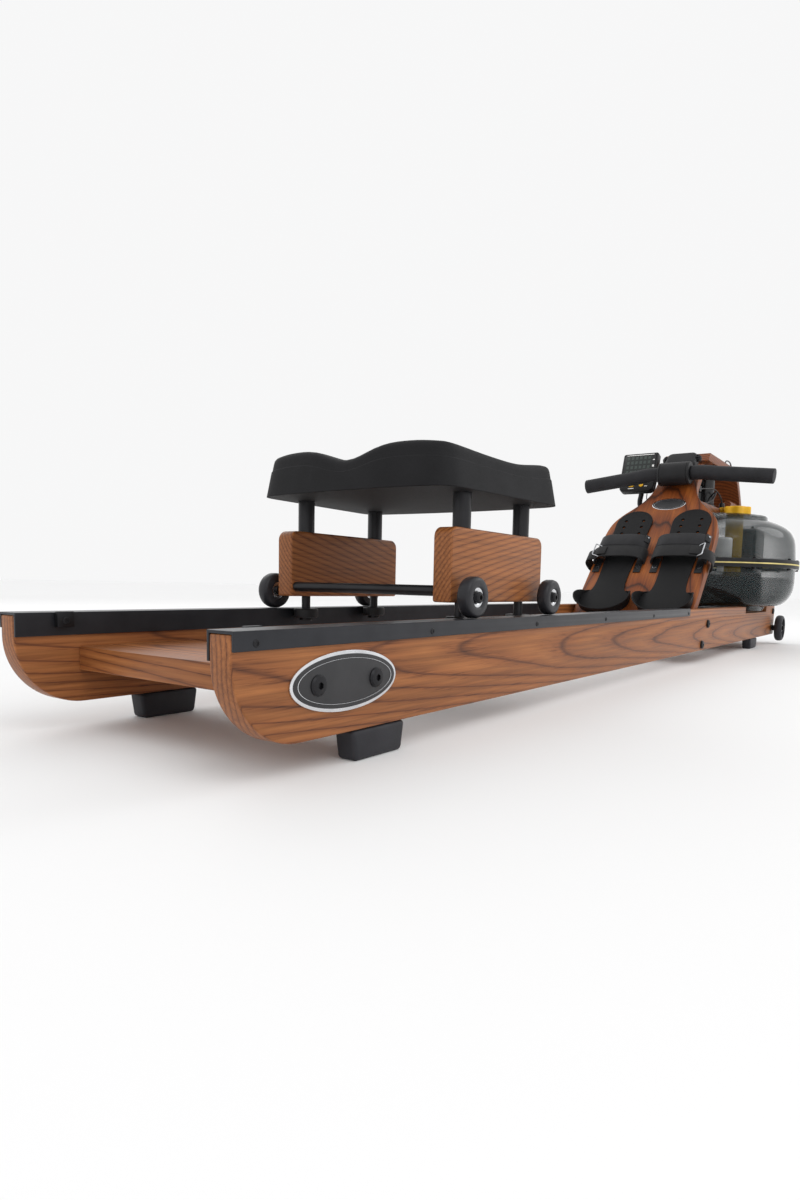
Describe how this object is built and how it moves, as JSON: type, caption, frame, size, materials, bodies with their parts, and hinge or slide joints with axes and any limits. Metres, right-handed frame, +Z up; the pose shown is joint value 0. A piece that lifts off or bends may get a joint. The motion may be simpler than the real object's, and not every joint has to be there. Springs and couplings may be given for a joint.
{
  "type": "rowing machine",
  "caption": "Wooden water rowing machine with a rolling seat, a leaning footplate with strapped footbeds and a water tank with a selector knob",
  "frame": {"origin": "centre of the bounding box in plan, on the floor", "axes": "+X towards the tank along the boards, +Y to the left of the person rowing as they face the tank, +Z up"},
  "size_m": [2.134, 0.519, 0.531],
  "materials": {
    "stained_wood": "satin clear coat over a red-brown stain",
    "black_rail": "black anodised",
    "black_steel": "semi-gloss black",
    "black_rubber": "matt",
    "seat_foam": "moulded foam skin",
    "wheel_tyre": "smooth polyurethane",
    "smoky_tank": "clear smoke-grey polycarbonate",
    "gasket_yellow": "matt",
    "knob_yellow": "glossy",
    "black_plastic": "fine texture",
    "webbing": "woven",
    "pale_plastic": "satin"
  },
  "bodies": {
    "frame": {"left_side_board": "stained_wood", "right_side_board": "stained_wood", "left_rail": "black_rail", "right_rail": "black_rail", "rear_crossboard": "stained_wood", "footplate_batten": "stained_wood", "tank_base_board": "stained_wood", "footplate": "stained_wood", "bridge": "stained_wood", "bridge_base": "stained_wood", "front_left_foot": "black_rubber", "front_right_foot": "black_rubber", "rear_left_foot": "black_rubber", "rear_right_foot": "black_rubber", "rear_tie_bolt_1": "black_steel", "rear_tie_bolt_2": "black_steel", "batten_tie_bolt_1": "black_steel", "batten_tie_bolt_2": "black_steel", "pulley_housing": "black_plastic", "tank_lower_shell": "smoky_tank", "tank_upper_shell": "smoky_tank", "tank_gasket": "gasket_yellow", "inner_tank_wall": "black_plastic", "console_arm": "black_steel", "left_foot_strap": "webbing", "right_foot_strap": "webbing", "drive_belt": "webbing", "shock_cord": "webbing"},
    "carriage": {"seat": "seat_foam", "left_seat_block": "stained_wood", "right_seat_block": "stained_wood", "front_left_post": "black_steel", "front_right_post": "black_steel", "rear_left_post": "black_steel", "rear_right_post": "black_steel", "front_cross_rod": "black_steel", "rear_cross_rod": "black_steel"},
    "handle": {"handlebar": "black_steel", "left_grip": "black_rubber", "right_grip": "black_rubber", "handle_cover": "black_rubber"},
    "drum": {"belt_drum": "black_plastic"},
    "pulley": {"guide_pulley": "black_plastic"},
    "impeller_body": {"impeller": "pale_plastic"},
    "selector": {"selector_knob": "knob_yellow"},
    "console": {"console_housing": "black_plastic"},
    "rear_left_seat_wheel": {"rear_left_wheel": "wheel_tyre"},
    "rear_right_seat_wheel": {"rear_right_wheel": "wheel_tyre"},
    "front_left_seat_wheel": {"front_left_wheel": "wheel_tyre"},
    "front_right_seat_wheel": {"front_right_wheel": "wheel_tyre"},
    "rear_left_roller": {"rear_left_guide_roller": "black_rubber"},
    "rear_right_roller": {"rear_right_guide_roller": "black_rubber"},
    "front_left_roller": {"front_left_guide_roller": "black_rubber"},
    "front_right_roller": {"front_right_guide_roller": "black_rubber"},
    "left_button": {"left_console_button": "knob_yellow"},
    "right_button": {"right_console_button": "knob_yellow"},
    "left_bed": {"left_footbed": "black_rubber"},
    "right_bed": {"right_footbed": "black_rubber"},
    "left_transport": {"left_transport_wheel": "wheel_tyre"},
    "right_transport": {"right_transport_wheel": "wheel_tyre"}
  },
  "joints": [
    {"name": "seat_slide", "type": "slide", "parent": "frame", "child": "carriage", "axis": [1, 0, 0], "range_m": [-0.25, 0.58]},
    {"name": "rear_left_wheel_spin", "type": "hinge", "parent": "carriage", "child": "rear_left_seat_wheel", "pos_m": [-0.728, 0.1548, 0.1431], "axis": [0, 1, 0], "range_deg": [-640, 1470]},
    {"name": "rear_right_wheel_spin", "type": "hinge", "parent": "carriage", "child": "rear_right_seat_wheel", "pos_m": [-0.728, -0.1548, 0.1431], "axis": [0, 1, 0], "range_deg": [-640, 1470]},
    {"name": "front_left_wheel_spin", "type": "hinge", "parent": "carriage", "child": "front_left_seat_wheel", "pos_m": [-0.538, 0.1548, 0.1431], "axis": [0, 1, 0], "range_deg": [-640, 1470]},
    {"name": "front_right_wheel_spin", "type": "hinge", "parent": "carriage", "child": "front_right_seat_wheel", "pos_m": [-0.538, -0.1548, 0.1431], "axis": [0, 1, 0], "range_deg": [-640, 1470]},
    {"name": "rear_left_roller_spin", "type": "hinge", "parent": "carriage", "child": "rear_left_roller", "pos_m": [-0.703, 0.1216, 0.114], "axis": [0, 0, 1], "range_deg": [-900, 2070]},
    {"name": "rear_right_roller_spin", "type": "hinge", "parent": "carriage", "child": "rear_right_roller", "pos_m": [-0.703, -0.1216, 0.114], "axis": [0, 0, 1], "range_deg": [-2070, 900]},
    {"name": "front_left_roller_spin", "type": "hinge", "parent": "carriage", "child": "front_left_roller", "pos_m": [-0.561, 0.1216, 0.114], "axis": [0, 0, 1], "range_deg": [-900, 2070]},
    {"name": "front_right_roller_spin", "type": "hinge", "parent": "carriage", "child": "front_right_roller", "pos_m": [-0.561, -0.1216, 0.114], "axis": [0, 0, 1], "range_deg": [-2070, 900]},
    {"name": "handle_pull", "type": "slide", "parent": "frame", "child": "handle", "axis": [-1, 0, 0], "range_m": [0, 1.2], "deforming": ["drive_belt"]},
    {"name": "drum_spin", "type": "hinge", "parent": "frame", "child": "drum", "pos_m": [0.8, 0, 0.43], "axis": [0, 0, 1], "range_deg": [0, 2710]},
    {"name": "guide_pulley_spin", "type": "hinge", "parent": "frame", "child": "pulley", "pos_m": [0.633, -0.0121, 0.4536], "axis": [0, 0, 1], "range_deg": [0, 6000]},
    {"name": "impeller_spin", "type": "hinge", "parent": "frame", "child": "impeller_body", "pos_m": [0.8, 0, 0.15], "axis": [0, 0, 1], "continuous": true},
    {"name": "selector_turn", "type": "hinge", "parent": "frame", "child": "selector", "pos_m": [0.8, -0.086, 0.382], "axis": [0, 0, 1], "range_deg": [-150, 150]},
    {"name": "console_tilt", "type": "hinge", "parent": "frame", "child": "console", "pos_m": [0.6127, 0.125, 0.466], "axis": [0, 1, 0], "range_deg": [-20, 20]},
    {"name": "left_button_press", "type": "slide", "parent": "console", "child": "left_button", "axis": [0.9511, 0, -0.309], "range_m": [0, 0.0015], "stiffness_N_per_m": 400},
    {"name": "right_button_press", "type": "slide", "parent": "console", "child": "right_button", "axis": [0.9511, 0, -0.309], "range_m": [0, 0.0015], "stiffness_N_per_m": 400},
    {"name": "left_footbed_slide", "type": "slide", "parent": "frame", "child": "left_bed", "axis": [0.6858, 0, 0.7278], "range_m": [-0.03, 0.04]},
    {"name": "right_footbed_slide", "type": "slide", "parent": "frame", "child": "right_bed", "axis": [0.6858, 0, 0.7278], "range_m": [-0.03, 0.04]},
    {"name": "left_transport_wheel_spin", "type": "hinge", "parent": "frame", "child": "left_transport", "pos_m": [1.028, 0.187, 0.0485], "axis": [0, 1, 0], "continuous": true},
    {"name": "right_transport_wheel_spin", "type": "hinge", "parent": "frame", "child": "right_transport", "pos_m": [1.028, -0.187, 0.0485], "axis": [0, 1, 0], "continuous": true}
  ],
  "couplings": [
    {"joint": "rear_left_wheel_spin", "follows": "seat_slide", "rad_per_m": 43.86},
    {"joint": "rear_right_wheel_spin", "follows": "seat_slide", "rad_per_m": 43.86},
    {"joint": "front_left_wheel_spin", "follows": "seat_slide", "rad_per_m": 43.86},
    {"joint": "front_right_wheel_spin", "follows": "seat_slide", "rad_per_m": 43.86},
    {"joint": "rear_left_roller_spin", "follows": "seat_slide", "rad_per_m": 61.728},
    {"joint": "rear_right_roller_spin", "follows": "seat_slide", "rad_per_m": -61.728},
    {"joint": "front_left_roller_spin", "follows": "seat_slide", "rad_per_m": 61.728},
    {"joint": "front_right_roller_spin", "follows": "seat_slide", "rad_per_m": -61.728},
    {"joint": "drum_spin", "follows": "handle_pull", "rad_per_m": 39.062},
    {"joint": "guide_pulley_spin", "follows": "handle_pull", "rad_per_m": 84.746}
  ]
}
